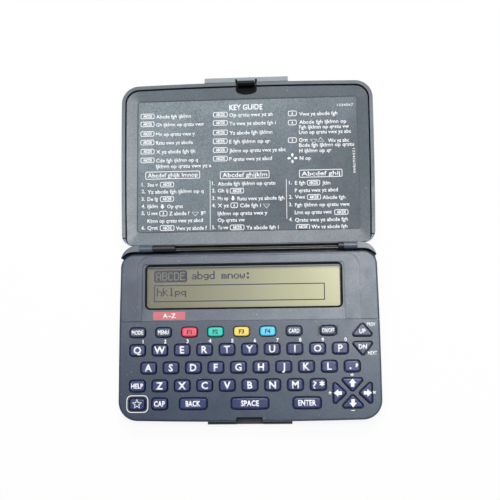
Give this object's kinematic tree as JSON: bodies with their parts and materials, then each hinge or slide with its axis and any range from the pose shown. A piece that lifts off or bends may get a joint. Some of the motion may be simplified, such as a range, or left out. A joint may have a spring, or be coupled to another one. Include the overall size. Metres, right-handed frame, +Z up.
{
  "type": "electronic dictionary",
  "caption": "Pocket electronic dictionary: a slim base with a keyboard and a display, a clamshell lid that folds flat, a sprung lid latch and a sliding battery door.",
  "frame": {"origin": "centre of the base's flat underside, halfway between its front edge and the hinge axis", "axes": "+Z up out of the keyboard, +Y from the keyboard to the hinge and the open lid, +X to the right of someone who faces the keyboard"},
  "size_m": [0.126, 0.1711, 0.013],
  "materials": {
    "case": "fine spark texture",
    "lid": "fine spark texture",
    "panel": "printed matte sheet",
    "keycap": "satin",
    "red_key": "satin",
    "green_key": "satin",
    "yellow_key": "satin",
    "blue_key": "satin",
    "window": "clear",
    "lcd": "satin",
    "board": "solder resist",
    "mat": "matte",
    "steel": "satin"
  },
  "bodies": {
    "base": {"bottom_case": "case", "top_case": "case", "display_window": "window", "lcd_panel": "lcd", "circuit_board": "board", "keypad_mat": "mat", "coin_cells": "steel", "screws": "steel"},
    "lid": {"lid_shell": "lid", "guide_panel": "panel"},
    "latch": {"latch": "lid"},
    "battery_door": {"battery_door": "case"},
    "key_a": {"key_a": "keycap"},
    "key_b": {"key_b": "keycap"},
    "key_back": {"key_back": "keycap"},
    "key_blue": {"key_blue": "blue_key"},
    "key_c": {"key_c": "keycap"},
    "key_cap": {"key_cap": "keycap"},
    "key_card": {"key_card": "keycap"},
    "key_cursor_down": {"key_cursor_down": "keycap"},
    "key_cursor_left": {"key_cursor_left": "keycap"},
    "key_cursor_right": {"key_cursor_right": "keycap"},
    "key_cursor_up": {"key_cursor_up": "keycap"},
    "key_d": {"key_d": "keycap"},
    "key_e": {"key_e": "keycap"},
    "key_enter": {"key_enter": "keycap"},
    "key_f": {"key_f": "keycap"},
    "key_g": {"key_g": "keycap"},
    "key_green": {"key_green": "green_key"},
    "key_h": {"key_h": "keycap"},
    "key_help": {"key_help": "keycap"},
    "key_i": {"key_i": "keycap"},
    "key_j": {"key_j": "keycap"},
    "key_k": {"key_k": "keycap"},
    "key_l": {"key_l": "keycap"},
    "key_m": {"key_m": "keycap"},
    "key_menu": {"key_menu": "keycap"},
    "key_mode": {"key_mode": "keycap"},
    "key_n": {"key_n": "keycap"},
    "key_o": {"key_o": "keycap"},
    "key_p": {"key_p": "keycap"},
    "key_page_down": {"key_page_down": "keycap"},
    "key_page_up": {"key_page_up": "keycap"},
    "key_point": {"key_point": "keycap"},
    "key_power": {"key_power": "keycap"},
    "key_q": {"key_q": "keycap"},
    "key_query": {"key_query": "keycap"},
    "key_r": {"key_r": "keycap"},
    "key_red": {"key_red": "red_key"},
    "key_s": {"key_s": "keycap"},
    "key_space": {"key_space": "keycap"},
    "key_star": {"key_star": "keycap"},
    "key_t": {"key_t": "keycap"},
    "key_u": {"key_u": "keycap"},
    "key_v": {"key_v": "keycap"},
    "key_w": {"key_w": "keycap"},
    "key_x": {"key_x": "keycap"},
    "key_y": {"key_y": "keycap"},
    "key_yellow": {"key_yellow": "yellow_key"},
    "key_z": {"key_z": "keycap"}
  },
  "joints": [
    {"name": "lid_hinge", "type": "hinge", "parent": "base", "child": "lid", "pos_m": [0, 0.04185, 0.01055], "axis": [1, 0, 0], "range_deg": [0, 180]},
    {"name": "latch_slide", "type": "slide", "parent": "lid", "child": "latch", "axis": [0, 1, 0], "range_m": [0, 0.001], "stiffness_N_per_m": 300},
    {"name": "battery_door_slide", "type": "slide", "parent": "base", "child": "battery_door", "axis": [-1, 0, 0], "range_m": [0, 0.024]},
    {"name": "key_a_press", "type": "slide", "parent": "base", "child": "key_a", "axis": [0, 0, -1], "range_m": [0, 0.0008], "stiffness_N_per_m": 500, "deforming": ["keypad_mat"]},
    {"name": "key_b_press", "type": "slide", "parent": "base", "child": "key_b", "axis": [0, 0, -1], "range_m": [0, 0.0008], "stiffness_N_per_m": 500, "deforming": ["keypad_mat"]},
    {"name": "key_back_press", "type": "slide", "parent": "base", "child": "key_back", "axis": [0, 0, -1], "range_m": [0, 0.0008], "stiffness_N_per_m": 500, "deforming": ["keypad_mat"]},
    {"name": "key_blue_press", "type": "slide", "parent": "base", "child": "key_blue", "axis": [0, 0, -1], "range_m": [0, 0.0008], "stiffness_N_per_m": 500, "deforming": ["keypad_mat"]},
    {"name": "key_c_press", "type": "slide", "parent": "base", "child": "key_c", "axis": [0, 0, -1], "range_m": [0, 0.0008], "stiffness_N_per_m": 500, "deforming": ["keypad_mat"]},
    {"name": "key_cap_press", "type": "slide", "parent": "base", "child": "key_cap", "axis": [0, 0, -1], "range_m": [0, 0.0008], "stiffness_N_per_m": 500, "deforming": ["keypad_mat"]},
    {"name": "key_card_press", "type": "slide", "parent": "base", "child": "key_card", "axis": [0, 0, -1], "range_m": [0, 0.0008], "stiffness_N_per_m": 500, "deforming": ["keypad_mat"]},
    {"name": "key_cursor_down_press", "type": "slide", "parent": "base", "child": "key_cursor_down", "axis": [0, 0, -1], "range_m": [0, 0.0008], "stiffness_N_per_m": 500, "deforming": ["keypad_mat"]},
    {"name": "key_cursor_left_press", "type": "slide", "parent": "base", "child": "key_cursor_left", "axis": [0, 0, -1], "range_m": [0, 0.0008], "stiffness_N_per_m": 500, "deforming": ["keypad_mat"]},
    {"name": "key_cursor_right_press", "type": "slide", "parent": "base", "child": "key_cursor_right", "axis": [0, 0, -1], "range_m": [0, 0.0008], "stiffness_N_per_m": 500, "deforming": ["keypad_mat"]},
    {"name": "key_cursor_up_press", "type": "slide", "parent": "base", "child": "key_cursor_up", "axis": [0, 0, -1], "range_m": [0, 0.0008], "stiffness_N_per_m": 500, "deforming": ["keypad_mat"]},
    {"name": "key_d_press", "type": "slide", "parent": "base", "child": "key_d", "axis": [0, 0, -1], "range_m": [0, 0.0008], "stiffness_N_per_m": 500, "deforming": ["keypad_mat"]},
    {"name": "key_e_press", "type": "slide", "parent": "base", "child": "key_e", "axis": [0, 0, -1], "range_m": [0, 0.0008], "stiffness_N_per_m": 500, "deforming": ["keypad_mat"]},
    {"name": "key_enter_press", "type": "slide", "parent": "base", "child": "key_enter", "axis": [0, 0, -1], "range_m": [0, 0.0008], "stiffness_N_per_m": 500, "deforming": ["keypad_mat"]},
    {"name": "key_f_press", "type": "slide", "parent": "base", "child": "key_f", "axis": [0, 0, -1], "range_m": [0, 0.0008], "stiffness_N_per_m": 500, "deforming": ["keypad_mat"]},
    {"name": "key_g_press", "type": "slide", "parent": "base", "child": "key_g", "axis": [0, 0, -1], "range_m": [0, 0.0008], "stiffness_N_per_m": 500, "deforming": ["keypad_mat"]},
    {"name": "key_green_press", "type": "slide", "parent": "base", "child": "key_green", "axis": [0, 0, -1], "range_m": [0, 0.0008], "stiffness_N_per_m": 500, "deforming": ["keypad_mat"]},
    {"name": "key_h_press", "type": "slide", "parent": "base", "child": "key_h", "axis": [0, 0, -1], "range_m": [0, 0.0008], "stiffness_N_per_m": 500, "deforming": ["keypad_mat"]},
    {"name": "key_help_press", "type": "slide", "parent": "base", "child": "key_help", "axis": [0, 0, -1], "range_m": [0, 0.0008], "stiffness_N_per_m": 500, "deforming": ["keypad_mat"]},
    {"name": "key_i_press", "type": "slide", "parent": "base", "child": "key_i", "axis": [0, 0, -1], "range_m": [0, 0.0008], "stiffness_N_per_m": 500, "deforming": ["keypad_mat"]},
    {"name": "key_j_press", "type": "slide", "parent": "base", "child": "key_j", "axis": [0, 0, -1], "range_m": [0, 0.0008], "stiffness_N_per_m": 500, "deforming": ["keypad_mat"]},
    {"name": "key_k_press", "type": "slide", "parent": "base", "child": "key_k", "axis": [0, 0, -1], "range_m": [0, 0.0008], "stiffness_N_per_m": 500, "deforming": ["keypad_mat"]},
    {"name": "key_l_press", "type": "slide", "parent": "base", "child": "key_l", "axis": [0, 0, -1], "range_m": [0, 0.0008], "stiffness_N_per_m": 500, "deforming": ["keypad_mat"]},
    {"name": "key_m_press", "type": "slide", "parent": "base", "child": "key_m", "axis": [0, 0, -1], "range_m": [0, 0.0008], "stiffness_N_per_m": 500, "deforming": ["keypad_mat"]},
    {"name": "key_menu_press", "type": "slide", "parent": "base", "child": "key_menu", "axis": [0, 0, -1], "range_m": [0, 0.0008], "stiffness_N_per_m": 500, "deforming": ["keypad_mat"]},
    {"name": "key_mode_press", "type": "slide", "parent": "base", "child": "key_mode", "axis": [0, 0, -1], "range_m": [0, 0.0008], "stiffness_N_per_m": 500, "deforming": ["keypad_mat"]},
    {"name": "key_n_press", "type": "slide", "parent": "base", "child": "key_n", "axis": [0, 0, -1], "range_m": [0, 0.0008], "stiffness_N_per_m": 500, "deforming": ["keypad_mat"]},
    {"name": "key_o_press", "type": "slide", "parent": "base", "child": "key_o", "axis": [0, 0, -1], "range_m": [0, 0.0008], "stiffness_N_per_m": 500, "deforming": ["keypad_mat"]},
    {"name": "key_p_press", "type": "slide", "parent": "base", "child": "key_p", "axis": [0, 0, -1], "range_m": [0, 0.0008], "stiffness_N_per_m": 500, "deforming": ["keypad_mat"]},
    {"name": "key_page_down_press", "type": "slide", "parent": "base", "child": "key_page_down", "axis": [0, 0, -1], "range_m": [0, 0.0008], "stiffness_N_per_m": 500, "deforming": ["keypad_mat"]},
    {"name": "key_page_up_press", "type": "slide", "parent": "base", "child": "key_page_up", "axis": [0, 0, -1], "range_m": [0, 0.0008], "stiffness_N_per_m": 500, "deforming": ["keypad_mat"]},
    {"name": "key_point_press", "type": "slide", "parent": "base", "child": "key_point", "axis": [0, 0, -1], "range_m": [0, 0.0008], "stiffness_N_per_m": 500, "deforming": ["keypad_mat"]},
    {"name": "key_power_press", "type": "slide", "parent": "base", "child": "key_power", "axis": [0, 0, -1], "range_m": [0, 0.0008], "stiffness_N_per_m": 500, "deforming": ["keypad_mat"]},
    {"name": "key_q_press", "type": "slide", "parent": "base", "child": "key_q", "axis": [0, 0, -1], "range_m": [0, 0.0008], "stiffness_N_per_m": 500, "deforming": ["keypad_mat"]},
    {"name": "key_query_press", "type": "slide", "parent": "base", "child": "key_query", "axis": [0, 0, -1], "range_m": [0, 0.0008], "stiffness_N_per_m": 500, "deforming": ["keypad_mat"]},
    {"name": "key_r_press", "type": "slide", "parent": "base", "child": "key_r", "axis": [0, 0, -1], "range_m": [0, 0.0008], "stiffness_N_per_m": 500, "deforming": ["keypad_mat"]},
    {"name": "key_red_press", "type": "slide", "parent": "base", "child": "key_red", "axis": [0, 0, -1], "range_m": [0, 0.0008], "stiffness_N_per_m": 500, "deforming": ["keypad_mat"]},
    {"name": "key_s_press", "type": "slide", "parent": "base", "child": "key_s", "axis": [0, 0, -1], "range_m": [0, 0.0008], "stiffness_N_per_m": 500, "deforming": ["keypad_mat"]},
    {"name": "key_space_press", "type": "slide", "parent": "base", "child": "key_space", "axis": [0, 0, -1], "range_m": [0, 0.0008], "stiffness_N_per_m": 500, "deforming": ["keypad_mat"]},
    {"name": "key_star_press", "type": "slide", "parent": "base", "child": "key_star", "axis": [0, 0, -1], "range_m": [0, 0.0008], "stiffness_N_per_m": 500, "deforming": ["keypad_mat"]},
    {"name": "key_t_press", "type": "slide", "parent": "base", "child": "key_t", "axis": [0, 0, -1], "range_m": [0, 0.0008], "stiffness_N_per_m": 500, "deforming": ["keypad_mat"]},
    {"name": "key_u_press", "type": "slide", "parent": "base", "child": "key_u", "axis": [0, 0, -1], "range_m": [0, 0.0008], "stiffness_N_per_m": 500, "deforming": ["keypad_mat"]},
    {"name": "key_v_press", "type": "slide", "parent": "base", "child": "key_v", "axis": [0, 0, -1], "range_m": [0, 0.0008], "stiffness_N_per_m": 500, "deforming": ["keypad_mat"]},
    {"name": "key_w_press", "type": "slide", "parent": "base", "child": "key_w", "axis": [0, 0, -1], "range_m": [0, 0.0008], "stiffness_N_per_m": 500, "deforming": ["keypad_mat"]},
    {"name": "key_x_press", "type": "slide", "parent": "base", "child": "key_x", "axis": [0, 0, -1], "range_m": [0, 0.0008], "stiffness_N_per_m": 500, "deforming": ["keypad_mat"]},
    {"name": "key_y_press", "type": "slide", "parent": "base", "child": "key_y", "axis": [0, 0, -1], "range_m": [0, 0.0008], "stiffness_N_per_m": 500, "deforming": ["keypad_mat"]},
    {"name": "key_yellow_press", "type": "slide", "parent": "base", "child": "key_yellow", "axis": [0, 0, -1], "range_m": [0, 0.0008], "stiffness_N_per_m": 500, "deforming": ["keypad_mat"]},
    {"name": "key_z_press", "type": "slide", "parent": "base", "child": "key_z", "axis": [0, 0, -1], "range_m": [0, 0.0008], "stiffness_N_per_m": 500, "deforming": ["keypad_mat"]}
  ]
}
